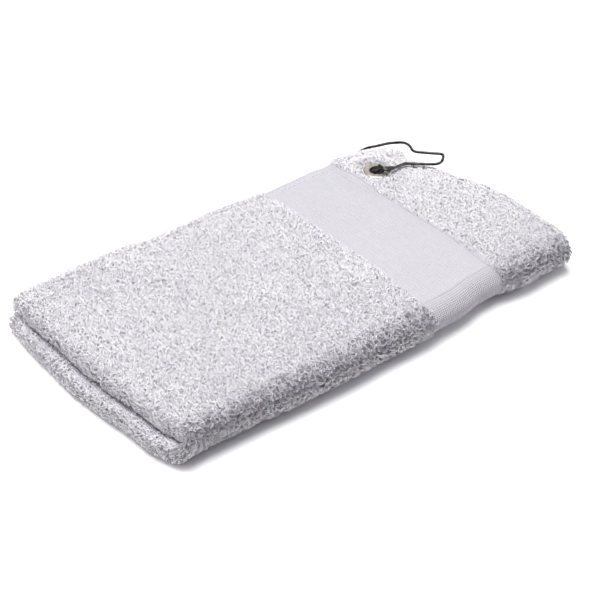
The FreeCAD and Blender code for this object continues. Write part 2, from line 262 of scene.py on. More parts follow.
def mottled(tree, shader, coords, scale, dark, light, detail=3.0):
    """Base colour that wanders between two shades."""
    noise = node(tree, "ShaderNodeTexNoise", Scale=scale, Detail=detail)
    ramp = node(tree, "ShaderNodeValToRGB")
    ramp.color_ramp.elements[0].position = 0.32
    ramp.color_ramp.elements[0].color = (*dark, 1)
    ramp.color_ramp.elements[1].position = 0.68
    ramp.color_ramp.elements[1].color = (*light, 1)
    link(tree, coords, noise.inputs["Vector"])
    link(tree, noise.outputs["Fac"], ramp.inputs["Fac"])
    link(tree, ramp.outputs["Color"], shader.inputs["Base Color"])
    return noise


def pile_material(name, shade):
    """Cotton yarn of the loops; the loops themselves give the texture."""
    mat, _, shader = material(name)
    shader.inputs["Base Color"].default_value = (0.715 * shade, 0.698 * shade, 0.752 * shade, 1)
    cloth_finish(shader, 0.95, 0.06)
    shader.inputs["Subsurface Weight"].default_value = 0.8
    shader.inputs["Subsurface Radius"].default_value = (1.0, 1.0, 1.0)
    shader.inputs["Subsurface Scale"].default_value = 0.003
    return mat


def woven_material(name, pitch, light, dark, strength, painted_gap_shade=0.12):
    """Plain weave in the cloth's own directions, from the UV map in millimetres."""
    mat, tree, shader = material(name)
    cloth_finish(shader)
    place = node(tree, "ShaderNodeUVMap", uv_map="cloth")
    mottled(tree, shader, place.outputs["UV"], 0.35, dark, light)

    # threads and dots of the weave, as a bump and as uneven gloss
    dots = node(tree, "ShaderNodeTexVoronoi", Scale=1 / pitch, Randomness=0.12)
    threads = node(tree, "ShaderNodeTexWave", Scale=0.5 / pitch, Distortion=0.6)
    threads.inputs["Detail Scale"].default_value = 2.0
    mix = node(tree, "ShaderNodeMath", operation="MULTIPLY_ADD")
    mix.inputs[1].default_value = -1.3
    bump = node(tree, "ShaderNodeBump", Strength=strength, Distance=0.00035)
    rough = node(tree, "ShaderNodeMapRange")
    rough.inputs["To Min"].default_value = 0.8
    rough.inputs["To Max"].default_value = 1.0
    link(tree, place.outputs["UV"], dots.inputs["Vector"])
    link(tree, place.outputs["UV"], threads.inputs["Vector"])
    link(tree, dots.outputs["Distance"], mix.inputs[0])
    link(tree, threads.outputs["Fac"], mix.inputs[2])
    link(tree, mix.outputs["Value"], bump.inputs["Height"])
    link(tree, bump.outputs["Normal"], shader.inputs["Normal"])
    link(tree, dots.outputs["Distance"], rough.inputs["Value"])
    link(tree, rough.outputs["Result"], shader.inputs["Roughness"])

    # darker between the threads, which is painted shade in the weave's gaps, and much darker round the long
    # fold, which is painted shade for the towel's shaded side
    shade = node(tree, "ShaderNodeMapRange")
    shade.inputs["From Min"].default_value = 0.15
    shade.inputs["From Max"].default_value = 0.65
    shade.inputs["To Min"].default_value = 1.0
    across = node(tree, "ShaderNodeSeparateXYZ")
    from_fold = node(tree, "ShaderNodeMath", operation="ABSOLUTE")
    painted_shade_depth = node(tree, "ShaderNodeMapRange")
    # painted shade: deepest near the long fold's middle, fading out across the UV's millimetres
    painted_shade_depth.inputs["From Min"].default_value = 8.0
    painted_shade_depth.inputs["From Max"].default_value = 18.0
    painted_shade_depth.inputs["To Min"].default_value = 1.0 - 3.7 * painted_gap_shade
    painted_shade_depth.inputs["To Max"].default_value = 1.0 - painted_gap_shade
    link(tree, place.outputs["UV"], across.inputs["Vector"])
    link(tree, across.outputs["Y"], from_fold.inputs[0])
    link(tree, from_fold.outputs["Value"], painted_shade_depth.inputs["Value"])
    link(tree, painted_shade_depth.outputs["Result"], shade.inputs["To Max"])
    tone = node(tree, "ShaderNodeVectorMath", operation="SCALE")
    plain = shader.inputs["Base Color"].links[0].from_socket
    link(tree, dots.outputs["Distance"], shade.inputs["Value"])
    link(tree, plain, tone.inputs[0])
    link(tree, shade.outputs["Result"], tone.inputs["Scale"])
    link(tree, tone.outputs["Vector"], shader.inputs["Base Color"])
    return mat


def metal_material(name, dark, light, roughness, tint_scale):
    """Worn bright metal: smudged tone, uneven gloss and fine scratches."""
    mat, tree, shader = material(name)
    shader.inputs["Metallic"].default_value = 1.0
    place = node(tree, "ShaderNodeTexCoord")
    noise = mottled(tree, shader, place.outputs["Object"], tint_scale, dark, light, 6.0)
    rough = node(tree, "ShaderNodeMapRange")
    rough.inputs["To Min"].default_value = roughness * 0.6
    rough.inputs["To Max"].default_value = roughness * 1.6
    scratch = node(tree, "ShaderNodeTexNoise", Scale=2600.0, Detail=2.0)
    bump = node(tree, "ShaderNodeBump", Strength=0.15, Distance=0.00002)
    link(tree, noise.outputs["Fac"], rough.inputs["Value"])
    link(tree, rough.outputs["Result"], shader.inputs["Roughness"])
    link(tree, place.outputs["Object"], scratch.inputs["Vector"])
    link(tree, scratch.outputs["Fac"], bump.inputs["Height"])
    link(tree, bump.outputs["Normal"], shader.inputs["Normal"])
    return mat


def thread_material(name):
    mat, tree, shader = material(name)
    cloth_finish(shader, 0.7, 0.5)
    place = node(tree, "ShaderNodeTexCoord")
    mottled(tree, shader, place.outputs["Object"], 900.0, (0.66, 0.65, 0.7), (0.86, 0.86, 0.9))
    twist = node(tree, "ShaderNodeTexWave", Scale=1600.0, Distortion=1.0)
    bump = node(tree, "ShaderNodeBump", Strength=0.6, Distance=0.0001)
    link(tree, place.outputs["Object"], twist.inputs["Vector"])
    link(tree, twist.outputs["Fac"], bump.inputs["Height"])
    link(tree, bump.outputs["Normal"], shader.inputs["Normal"])
    return mat


SHADES = (1.0, 0.985, 1.01, 0.97, 1.005)
TINTS = [pile_material(f"terry_yarn_{i + 1}", shade) for i, shade in enumerate(SHADES)]
TERRY_GROUND = woven_material("terry_ground", 1.4, (0.70, 0.685, 0.735), (0.62, 0.605, 0.655), 0.8)
# darker copy of the terry ground for the cloth round the long fold: painted shade for the towel's shaded side
SHADED_WALL_GROUND = woven_material("terry_ground_painted_shade", 1.4, (0.62, 0.605, 0.66), (0.48, 0.465, 0.53), 0.8)
BORDER_WEAVE = woven_material(
    "border_weave", 1.25, (0.735, 0.722, 0.762), (0.70, 0.688, 0.727), 1.0, painted_gap_shade=0.2
)
HEM_WEAVE = woven_material("hem_weave", 0.8, (0.76, 0.75, 0.785), (0.69, 0.68, 0.72), 0.8)
THREAD = thread_material("sewing_thread")
NICKEL = metal_material("eyelet_nickel", (0.22, 0.2, 0.18), (0.38, 0.345, 0.31), 0.3, 500.0)
WIRE = metal_material("clip_wire", (0.035, 0.032, 0.032), (0.10, 0.095, 0.095), 0.26, 350.0)


# ---------------------------------------- mesh helpers
def new_object(name, points, faces, look, flat=None, hard=0):
    """Mesh object from points in millimetres. flat gives each point's place in the flat
    cloth, and the last hard faces aren't shaded smooth with the rest."""
    mesh = bpy.data.meshes.new(name)
    points = np.asarray(points, float).reshape(-1, 3) * MM
    faces = np.ascontiguousarray(faces, dtype=np.int32)
    mesh.vertices.add(len(points))
    mesh.vertices.foreach_set("co", points.astype(np.float32).ravel())
    mesh.loops.add(faces.size)
    mesh.loops.foreach_set("vertex_index", faces.ravel())
    mesh.polygons.add(len(faces))
    mesh.polygons.foreach_set("loop_start", np.arange(len(faces), dtype=np.int32) * faces.shape[1])
    mesh.polygons.foreach_set("use_smooth", np.arange(len(faces)) < len(faces) - hard)
    if flat is not None:
        layer = mesh.uv_layers.new(name="cloth")
        layer.data.foreach_set("uv", np.asarray(flat, np.float32)[faces.ravel()].ravel())
    mesh.update(calc_edges=True)
    mesh.materials.append(look)
    obj = bpy.data.objects.new(name, mesh)
    bpy.context.scene.collection.objects.link(obj)
    return obj


def cell_faces(rows, columns, keep=None):
    """Quads of a grid, as indices of its points."""
    index = np.arange(rows * columns).reshape(rows, columns)
    quads = np.stack([index[:-1, :-1], index[1:, :-1], index[1:, 1:], index[:-1, 1:]], axis=-1)
    return quads.reshape(-1, 4) if keep is None else quads[keep]


def shell(name, uu, vv, outside, inside, look, keep=None):
    """Closed piece of cloth over a grid, between two heights; keep drops cells for a hole."""
    rows, columns = uu.shape
    count = rows * columns
    outer = fold(uu, vv, outside).reshape(-1, 3)
    inner = fold(uu, vv, inside).reshape(-1, 3)
    across = vv + FOLD_STRETCH * np.clip(vv, -FOLD_ARC, FOLD_ARC)
    flat = np.stack([uu.ravel(), across.ravel()], axis=-1)
    quads = cell_faces(rows, columns, keep)
    facing = np.cross(outer[quads[:, 2]] - outer[quads[:, 0]], outer[quads[:, 3]] - outer[quads[:, 1]])
    if np.sum(facing * (outer - inner)[quads[:, 0]]) < 0:
        quads = quads[:, ::-1]
    edges = np.concatenate([quads[:, [i, (i + 1) % 4]] for i in range(4)])
    forward = edges[:, 0] * count + edges[:, 1]
    backward = edges[:, 1] * count + edges[:, 0]
    rim = edges[~np.isin(forward, backward)]
    walls = np.stack([rim[:, 1], rim[:, 0], rim[:, 0] + count, rim[:, 1] + count], axis=-1)
    faces = np.concatenate([quads, quads[:, ::-1] + count, walls])
    points = np.concatenate([outer, inner])
    return new_object(name, points, faces, look, np.concatenate([flat, flat]), len(walls))


def tube_faces(rings, sides, tubes=1):
    """Quads round tubes that are open at both ends."""
    column = np.arange(sides)
    beside = (column + 1) % sides
    cell = np.stack([column, column + sides, beside + sides, beside], axis=-1)
    body = (cell[None] + (np.arange(rings - 1) * sides)[:, None, None]).reshape(-1, 4)
    return (body[None] + (np.arange(tubes) * rings * sides)[:, None, None]).reshape(-1, 4)


def cloth_grid(v, halves=(INNER, OUTER), step=2.0, first_x=None, last_x=None):
    """Grid over the cloth: round the crosswise fold and out to the ends, or between two places x
    of one half."""
    v = np.asarray(v)
    if first_x is None:
        count = int((RIGHT_X - UPPER_ROLL_X) / step)
        share = np.linspace(0, 1, count + 1)[1:]
        flat = ROLL_ARC + share[:, None] * (RIGHT_X - roll_x(v))[None, :]
        quarter = 6
        turn = np.linspace(-ROLL_ARC, ROLL_ARC, 2 * quarter + 1)
        if halves == (INNER,):
            turn = turn[: quarter + 1]
        elif halves == (OUTER,):
            turn = turn[quarter:]
        stack = [np.repeat(turn[:, None], len(v), axis=1)]
        if INNER in halves:
            stack.insert(0, -flat[::-1])
        if OUTER in halves:
            stack.append(flat)
        uu = np.concatenate(stack)
    else:
        count = max(2, int((last_x - first_x) / step))
        xs = np.linspace(first_x, last_x, count + 1)
        uu = halves[0] * at_x(xs[:, None], v[None, :])
    vv = np.repeat(v[None, :], len(uu), axis=0)
    return uu, vv


def rim_share(uu, vv, width=2.2):
    """0 on the cloth's outer edges, rising to 1 within a width, as a rounded edge does."""
    inward = np.minimum(end_u(vv) - np.abs(uu), V_MAX - np.abs(vv))
    return round_edge(inward / width)


def from_eyelet(uu, vv):
    """Distance from the eyelet on the top layer, and a large number elsewhere."""
    x, y, _ = nominal(uu, vv, 0)
    away = np.hypot(x - EYELET[0], y - EYELET[1])
    return np.where((uu > 0) & (vv > 0), away, 1e3)


def open_eyelet(uu, vv, clear=3.2, bore=4.4, reach=13.0):
    """Moves grid lines out of the eyelet's barrel and marks the cells to keep."""
    away = from_eyelet(uu, vv)
    inside = away < reach
    centre_u, centre_v = at_x(EYELET[0], V_MAX), EYELET[1] - FOLD_Y + FOLD_ARC
    wanted = np.maximum(bore, bore + (away - clear) * (reach - bore) / (reach - clear))
    grow = np.where(inside, wanted / np.maximum(away, 1e-6), 1)
    drop = away < clear
    uu = np.where(inside, centre_u + (uu - centre_u) * grow, uu)
    vv = np.where(inside, centre_v + (vv - centre_v) * grow, vv)
    lost = drop[:-1, :-1] | drop[1:, :-1] | drop[1:, 1:] | drop[:-1, 1:]
    return uu, vv, ~lost


# ---------------------------------------- clip route
BULB_R, WIRE_R = 16.0, 0.8
NECK_HALF, NECK_REACH = 5.8, 33.0    # half the neck's width, and its end from the bulb's middle
CLIP_HEADING = math.radians(-53)
NECK_WAY = np.array([math.cos(CLIP_HEADING), math.sin(CLIP_HEADING)])
SIDE_WAY = np.array([-math.sin(CLIP_HEADING), math.cos(CLIP_HEADING)])
EYELET_TURN = math.radians(267)      # where on the bulb the wire passes the eyelet
BULB = EYELET[:2] - BULB_R * (NECK_WAY * math.cos(EYELET_TURN) + SIDE_WAY * math.sin(EYELET_TURN))
WIRE_OVER = joint_place("gate_press")[2]    # height of the wire on the top layer
WIRE_UNDER = STACK - LAYER + 0.1     # and between the top two layers
SWING = [math.radians(a) for a in (-20, 20)]    # the range of clip_swing
ROOM, MOST_ROOM = 1.5, 2.4           # how far the cloth's inner face gives way to the wire
SEAT_IN, SEAT_OUT = 7.4, 10.5        # radii between which the cloth comes down to the eyelet's seat
PINCHED = 0.78                       # half the cloth's thickness under the eyelet's flange


def clip_point(along, across, height):
    return np.array([*(BULB + NECK_WAY * along + SIDE_WAY * across), height])


# ---------------------------------------- the leaves' cloth
def clip_room(uu, vv):
    """Room inside the upper leaf for the clip's wire, over the whole of its swing."""
    x, y, z = np.moveaxis(fold(uu, vv, 0 * uu), -1, 0)
    near = np.zeros_like(x)
    for swing in np.linspace(*SWING, 5):
        turn = np.array([[math.cos(swing), -math.sin(swing)], [math.sin(swing), math.cos(swing)]])
        bulb = EYELET[:2] + turn @ (BULB - EYELET[:2])
        near = np.maximum(near, 1 - ease(np.hypot(x - bulb[0], y - bulb[1]), BULB_R + 3, BULB_R + 8))
    # the top layer droops at its corner, so there it gives way further
    clearance = 0.4
    needed = WIRE_UNDER + WIRE_R + clearance - (z + BACK)
    return np.where(uu > 0, np.clip(needed, ROOM, MOST_ROOM), ROOM) * near * (vv > 0)


def rim_height(uu, vv):
    """Where the cloth's two faces meet at its edge, raised over the clip's wire."""
    return EDGE + 0.4 * clip_room(uu, vv)


def outside_height(uu, vv):
    """Ground on the pile side, pinched flat under the eyelet's flange."""
    # fuller where the two leaves' rolls meet
    meeting = ease(-uu, 0.3 * ROLL_ARC, 0.8 * ROLL_ARC) * (1 - ease(-uu, ROLL_ARC + 1, ROLL_ARC + 6))
    rim = rim_height(uu, vv)
    height = rim + (GROUND - rim + 0.7 * meeting) * rim_share(uu, vv)
    seat = 1 - ease(from_eyelet(uu, vv), SEAT_IN, SEAT_OUT)
    return height * (1 - seat) + PINCHED * seat


def inside_height(uu, vv):
    """Back of the cloth, with room for the clip's wire inside the upper leaf."""
    rim = rim_height(uu, vv)
    height = rim + (BACK + clip_room(uu, vv) - rim) * rim_share(uu, vv)
    seat = 1 - ease(from_eyelet(uu, vv), SEAT_IN, SEAT_OUT)
    return height * (1 - seat) - PINCHED * seat


def leaf_lines(side, count):
    """Places across a leaf in rising order, from the long fold's cloth to the far edge."""
    v = side * np.linspace(SEAM, V_MAX, count)
    return v if side > 0 else v[::-1]


def fold_lines(count):
    """Places across the long fold, reaching a little into both leaves."""
    return np.linspace(-SEAM - 0.5, SEAM + 0.5, count)


def leaf_cloth(name, side):
    uu, vv = cloth_grid(leaf_lines(side, LEAF_LINES))
    uu, vv, keep = open_eyelet(uu, vv)
    return shell(name, uu, vv, outside_height(uu, vv), inside_height(uu, vv), TERRY_GROUND, keep)


def fold_cloth(name, half):
    uu, vv = cloth_grid(fold_lines(FOLD_LINES), (half,))
    # the cloth round the long fold takes the darker, painted-shade copy of the terry ground
    return shell(name, uu, vv, outside_height(uu, vv), inside_height(uu, vv), SHADED_WALL_GROUND)


def band(name, half, v):
    """Woven border standing on the ground, flat and free of pile, with turned-down edges."""
    left, right, rib = BORDER_LEFT - 1.5, BORDER_RIGHT + 0.2, 2.35
    uu, vv = cloth_grid(v, (half,), 1.0, left, right)
    x = nominal(uu, vv, 0)[0]
    edge = np.minimum(x - left, right - x)
    face = GROUND + (BAND - GROUND) * ease(edge, -0.2, 1.6)
    face = face + 0.12 * ripples(uu, vv, 11, 12) + 0.02 * np.sin(uu * 2 * math.pi / rib)
    face = EDGE + (face - EDGE) * rim_share(uu, vv, 1.6)
    return shell(name, uu, vv, face, np.full_like(face, EDGE - 0.05), BORDER_WEAVE)


HEM_LINES, OVERHANG = 10, 0.25       # grid lines over a hem, and how far it passes the cloth's edge
HEM_LEVEL = -1.55                    # the hem's middle, under the cloth's


def hem_shell(name, uu, vv, edge):
    """Turned-in cloth on the inner side of the edge, rounded within a width of its rims."""
    puff = round_edge(edge / 1.1)
    room = clip_room(uu, vv)
    middle = HEM_LEVEL + room
    face = middle + (1.0 - np.maximum(room - ROOM, 0)) * puff
    return shell(name, uu, vv, face + 0.02, middle - 0.85 * puff - 0.02, HEM_WEAVE)


def end_hem(name, v, half):
    """Hem over the cloth's end, at the places v across the cloth."""
    strip = np.linspace(-HEM, OVERHANG, HEM_LINES)[:, None]
    vv = np.repeat(v[None, :], HEM_LINES, axis=0)
    uu = half * (end_u(vv) + strip)
    edge = np.minimum(strip + HEM, OVERHANG - strip)
    return hem_shell(name, uu, vv, np.minimum(edge, V_MAX - np.abs(vv)))


def side_hem(name, side, half):
    """Hem along a leaf's far edge, from the crosswise fold to the cloth's end."""
    strip = np.linspace(-HEM, OVERHANG, HEM_LINES)[None, :]
    share = np.linspace(0, 1, 124)[:, None]
    uu = half * (ROLL_ARC + share * (RIGHT_X - roll_x(side * V_MAX)) + 0 * strip)
    vv = side * (V_MAX + strip) + 0 * uu
    edge = np.minimum(strip + HEM, OVERHANG - strip)
    return hem_shell(name, uu, vv, np.minimum(edge, end_u(vv) - np.abs(uu)))


# ---------------------------------------- terry pile
RINGS, SIDES = 5, 3                  # of one yarn loop's tube


def scatter(pitch, u_range, v_range, seed, su=1.0, sv=1.0):
    """Jittered staggered places, pitch apart on the cloth, over ranges of u and v. su and sv
    pack them closer along each."""
    dice = np.random.default_rng(seed)
    jitter = 0.42
    step_u, step_v = pitch / su, pitch * 0.9 / sv
    us = np.arange(u_range[0] + step_u / 2, u_range[1], step_u)
    vs = np.arange(v_range[0] + step_v / 2, v_range[1], step_v)
    uu, vv = np.meshgrid(us, vs, indexing="ij")
    uu = uu + (np.arange(len(vs)) % 2)[None, :] * step_u / 2
    uu = uu + dice.uniform(-jitter, jitter, uu.shape) * step_u
    vv = vv + dice.uniform(-jitter, jitter, vv.shape) * step_v
    return uu.ravel(), vv.ravel()


def clump_pull(u, v, cell, seed):
    """Towards the middle of the tuft that each place belongs to, and a number per tuft."""
    dice = np.random.default_rng(seed)
    iu, iv = np.floor(u / cell).astype(int), np.floor(v / cell).astype(int)
    low_u, low_v = iu.min() - 1, iv.min() - 1
    shape = (iu.max() - low_u + 2, iv.max() - low_v + 2)
    middles = dice.uniform(0.1, 0.9, (*shape, 2))
    tone = dice.uniform(0, 1, shape)
    best = np.full(u.shape, 1e9)
    pull = np.zeros((*u.shape, 2))
    value = np.zeros(u.shape)
    for du in (-1, 0, 1):
        for dv in (-1, 0, 1):
            a, b = iu + du - low_u, iv + dv - low_v
            centre_u = (iu + du + middles[a, b, 0]) * cell
            centre_v = (iv + dv + middles[a, b, 1]) * cell
            away = np.hypot(centre_u - u, centre_v - v)
            closer = away < best
            best = np.where(closer, away, best)
            pull[closer] = np.stack([centre_u - u, centre_v - v], axis=-1)[closer]
            value = np.where(closer, tone[a, b], value)
    return pull, value


def yarn_loops(u, v, base, height, seed, slope=None, away_u=0.0, away_v=0.0, tuft=3.1, gather=0.3, calm=1.0):
    """Points of bent yarn loops on the cloth. slope lays a loop over towards away_u, away_v,
    gather draws the loops together into tufts, and a smaller calm has them stand straighter."""
    dice = np.random.default_rng(seed)
    count = len(u)
    slope = np.zeros(count) if slope is None else slope
    along_u, along_v = stretch(u, v, base + height / 2)
    pull, tone = clump_pull(u * along_u, v * along_v, tuft, seed + 1)
    # loops lean in swathes, towards the middle of their tuft, and each a little its own way
    swathe, stray = 0.45, 0.32
    lean_u = swathe * ripples(u, v, 8, seed + 2) + gather * pull[:, 0] + dice.normal(0, stray, count)
    lean_v = swathe * ripples(u, v, 8, seed + 3) + gather * pull[:, 1] + dice.normal(0, stray, count)
    lean_u, lean_v = lean_u * calm, lean_v * calm
    # tufts differ in height, and a few of them are pressed down
    pressed = tone < 0.07
    height = height * (0.9 + 0.14 * tone - 0.35 * pressed + dice.normal(0, 0.06, count))
    spread = dice.uniform(0.3, 0.55, count)
    thick = dice.uniform(0.25, 0.34, count)
    face = dice.uniform(0, 2 * math.pi, count)
    cu, cv = np.cos(face), np.sin(face)
    # an arch that is widest halfway up, and leans more towards its top
    turn = np.linspace(0.06, math.pi - 0.06, RINGS)[None, :]
    across = -spread[:, None] * np.cos(turn) * (1 + 0.35 * np.sin(turn))
    up = height[:, None] * np.sin(turn) ** 0.75
    bend = np.sin(turn) ** 1.5
    path = np.stack(
        [
            across * cu[:, None] + lean_u[:, None] * bend,
            across * cv[:, None] + lean_v[:, None] * bend,
            up,
        ],
        axis=-1,
    )
    # a tube of yarn round the arch
    way = np.gradient(path, axis=1)
    way /= np.linalg.norm(way, axis=-1, keepdims=True)
    flat_side = np.stack([-cv, cu, np.zeros(count)], axis=-1)[:, None, :] + 0 * way
    flat_side -= way * np.sum(flat_side * way, axis=-1, keepdims=True)
    flat_side /= np.linalg.norm(flat_side, axis=-1, keepdims=True)
    other = np.cross(flat_side, way)
    corner = (np.arange(SIDES) + 0.5) * 2 * math.pi / SIDES
    ring = flat_side[:, :, None, :] * np.cos(corner)[None, None, :, None]
    ring = ring + other[:, :, None, :] * np.sin(corner)[None, None, :, None]
    points = path[:, :, None, :] + ring * thick[:, None, None, None]
    # lay the loop over at the cloth's edges, so that the pile wraps the edge
    lay = slope[:, None, None]
    out_u, out_v = (np.broadcast_to(a, count)[:, None, None] for a in (away_u, away_v))
    rise = points[..., 2]
    outward = points[..., 0] * out_u + points[..., 1] * out_v
    turned = outward * np.cos(lay) + rise * np.sin(lay) - outward
    local_u = points[..., 0] + turned * out_u
    local_v = points[..., 1] + turned * out_v
    local_w = rise * np.cos(lay) - outward * np.sin(lay)
    placed = fold(
        u[:, None, None] + local_u / along_u[:, None, None],
        v[:, None, None] + local_v / along_v[:, None, None],
        base[:, None, None] + local_w,
    )
    return placed.reshape(count, RINGS * SIDES, 3)


def soft_normals(loops):
    """Shading directions drawn towards each loop's rise, as light soaks into loose yarn."""
    rings = loops.reshape(len(loops), RINGS, SIDES, 3)
    middles = rings.mean(axis=2)
    rise = middles[:, RINGS // 2] - (middles[:, 0] + middles[:, -1]) / 2
    rise /= np.linalg.norm(rise, axis=-1, keepdims=True)
    outward = rings - middles[:, :, None]
    outward /= np.linalg.norm(outward, axis=-1, keepdims=True)
    softness = 3.4
    mixed = outward + softness * rise[:, None, None]
    mixed /= np.linalg.norm(mixed, axis=-1, keepdims=True)
    return mixed.reshape(-1, 3)


def pile(name, blocks, seed, most=8200):
    """Loops dealt out at random over pieces of slightly different shade."""
    loops = np.concatenate(blocks)
    dice = np.random.default_rng(seed)
    order = dice.permutation(len(loops))
    pieces = []
    shares = np.array_split(order, max(1, math.ceil(len(loops) / most)))
    for number, share in enumerate(shares):
        faces = tube_faces(RINGS, SIDES, len(share))
        look = TINTS[number % len(TINTS)]
        piece = new_object(f"{name}_{number + 1}", loops[share], faces, look)
        piece.data.normals_split_custom_set_from_vertices(soft_normals(loops[share]))
        pieces.append(piece)
    return pieces


def carries_pile(u, v, seed):
    """False on the border, under the eyelet's flange and at the free edges."""
    dice = np.random.default_rng(seed)
    x = nominal(u, v, 0)[0]
    ragged = 0.8 * ripples(v, u, 6, seed + 5) + dice.normal(0, 0.35, len(u))
    border = (x > BORDER_LEFT - 0.6 + ragged) & (x < BORDER_RIGHT + 0.7)
    within = (np.abs(u) < end_u(v) - INSET) & (np.abs(v) < V_MAX - INSET)
    off_eyelet = from_eyelet(u, v) > 8.0
    return within & ~border & off_eyelet


def beside_border(u, v):
    """Near 0 at the border's straight right edge, and 1 away from it."""
    x = nominal(u, v, 0)[0]
    return 0.15 + 0.85 * ease(np.abs(x - BORDER_RIGHT), 1.0, 4.0)


def field(half, side, pitch, height, seed):
    """Pile on one flat face of a leaf, shorter along the sewn hem and round the eyelet."""
    length = end_u(side * V_MAX)
    u, v = scatter(pitch, (ROLL_ARC, length), (SEAM, V_MAX), seed)
    u, v = half * u, side * v
    keep = carries_pile(u, v, seed)
    u, v = u[keep], v[keep]
    inward = np.minimum(length - np.abs(u), V_MAX - np.abs(v))
    row = np.exp(-(((inward - SEWN) / 0.55) ** 2))
    eyelet_dip = 1 - 0.45 * (1 - ease(from_eyelet(u, v), 8, 13))
    tall = height * (1 - 0.55 * row) * eyelet_dip * (0.9 + 0.1 * ease(inward, 4, 9))
    end_near = (length - np.abs(u)) < (V_MAX - np.abs(v))
    slope = 0.8 * (1 - ease(inward, 0.8, 3.2))
    away_u = np.where(end_near, half, 0.0)
    away_v = np.where(end_near, 0.0, side)
    base = np.interp(inward, [0, 2.2], [GROUND - 0.5, GROUND]) - SUNK
    return yarn_loops(u, v, base, tall, seed, slope, away_u, away_v, calm=beside_border(u, v))


def edge_pile(half, side, seed, pitch=1.25):
    """Loops that stand out sideways from the rounded edges of one layer."""
    length = end_u(side * V_MAX)
    dice = np.random.default_rng(seed)
    blocks = []

    def along_edge(u, v, base, seed, lay, away_u, away_v):
        one = np.ones(len(u))
        blocks.append(yarn_loops(u, v, base * one, 1.45 * one, seed, lay * one, away_u, away_v))

    for lay, base in ((1.15, 0.0), (1.6, -0.35)):
        v = side * (np.arange(SEAM + 0.4, V_MAX - 0.8, pitch) + dice.uniform(-0.4, 0.4))
        v = v + dice.uniform(-0.4, 0.4, len(v))
        u = np.full(len(v), half * (length - INSET)) + dice.uniform(-0.25, 0.25, len(v))
        along_edge(u, v, base, seed + 11, lay, half, 0.0)
        u = half * (np.arange(ROLL_ARC, length - 0.8, pitch))
        u = u + dice.uniform(-0.4, 0.4, len(u))
        v = np.full(len(u), side * (V_MAX - INSET)) + dice.uniform(-0.25, 0.25, len(u))
        x = nominal(u, v, 0)[0]
        clear = (x < BORDER_LEFT) | (x > BORDER_RIGHT + 1)
        along_edge(u[clear], v[clear], base, seed + 12, lay, 0.0, side)
    return np.concatenate(blocks)


def roll_pile(side, pitch, height, seed):
    """Pile round the crosswise fold of one leaf."""
    grow = 1.2 * (ROLL_R + GROUND + height * 0.5) / ROLL_R
    u, v = scatter(pitch, (-ROLL_ARC, ROLL_ARC), (SEAM, V_MAX - 1), seed, su=grow)
    one = np.ones(len(u))
    tall = height * (1 + 0.35 * ease(-u, 0.3 * ROLL_ARC, 0.8 * ROLL_ARC))
    return yarn_loops(u, side * v, ROOTS * one, tall, seed)


def wrap_pile(pitch, height, seed):
    """Pile on the outer cloth round the long fold."""
    length = end_u(0.0)
    grow = (LEAF_R + ROLL_R + GROUND + height * 0.5) / LEAF_R
    u, v = scatter(pitch, (ROLL_ARC, float(length)), (-SEAM, SEAM), seed, sv=grow)
    keep = carries_pile(u, v, seed) & (u < end_u(v) - 1)
    u, v = u[keep], v[keep]
    one = np.ones(len(u))
    lay = 0.8 * (1 - ease(end_u(v) - u, 0.8, 3.2))
    calm = beside_border(u, v)
    return yarn_loops(u, v, ROOTS * one, height * one, seed, lay, 1.0, 0.0, 3.6, 0.62, calm)


def corner_pile(half, pitch, height, seed):
    """Pile where the crosswise fold itself turns round the long fold."""
    low, high = (0, ROLL_ARC) if half > 0 else (-ROLL_ARC, 0)
    closest = 1.9
    u, v = scatter(pitch, (low, high), (-SEAM, SEAM), seed, su=closest, sv=closest)
    dice = np.random.default_rng(seed + 9)
    along_v = stretch(u, v, 2.0 + 0 * u)[1]
    keep = dice.uniform(0, 1, len(u)) < along_v / closest
    u, v = u[keep], v[keep]
    one = np.ones(len(u))
    return yarn_loops(u, v, ROOTS * one, height * one, seed)


# ---------------------------------------- sewing
def stitches(name, side):
    """Runs of lock stitch along the hems, sunk in the pile on the outer faces."""
    length, gap, radius = 2.5, 0.75, 0.3
    t = np.linspace(-1, 1, 7)
    body = np.sqrt(np.clip(1 - t**4, 0.02, 1)) * radius
    turn = np.arange(6) * math.pi / 3
    along = t[None, :, None] * length / 2
    across = (body[:, None] * np.cos(turn))[None]
    height = GROUND + 0.55 - 0.5 * t**2
    rise = (height[:, None] + body[:, None] * np.sin(turn))[None]
    end = float(end_u(side * V_MAX))
    along_v = np.arange(SEAM + 1, V_MAX - HEM, length + gap)
    along_u = np.arange(ROLL_ARC + 1, end - HEM, length + gap)
    blocks = []
    for half in (INNER, OUTER):
        rows = [
            (np.full(len(along_v), half * (end - SEWN)), side * along_v, 0.0, 1.0),
            (half * along_u, np.full(len(along_u), side * (V_MAX - SEWN)), 1.0, 0.0),
        ]
        for u, v, du, dv in rows:
            uu = u[:, None, None] + du * along + dv * across
            vv = v[:, None, None] + dv * along + du * across
            blocks.append(fold(uu, vv, rise + 0 * uu).reshape(len(u), -1, 3))
    points = np.concatenate(blocks)
    faces = tube_faces(len(t), len(turn), len(points))[:, [0, 3, 2, 1]]
    return new_object(name, points, faces, THREAD)


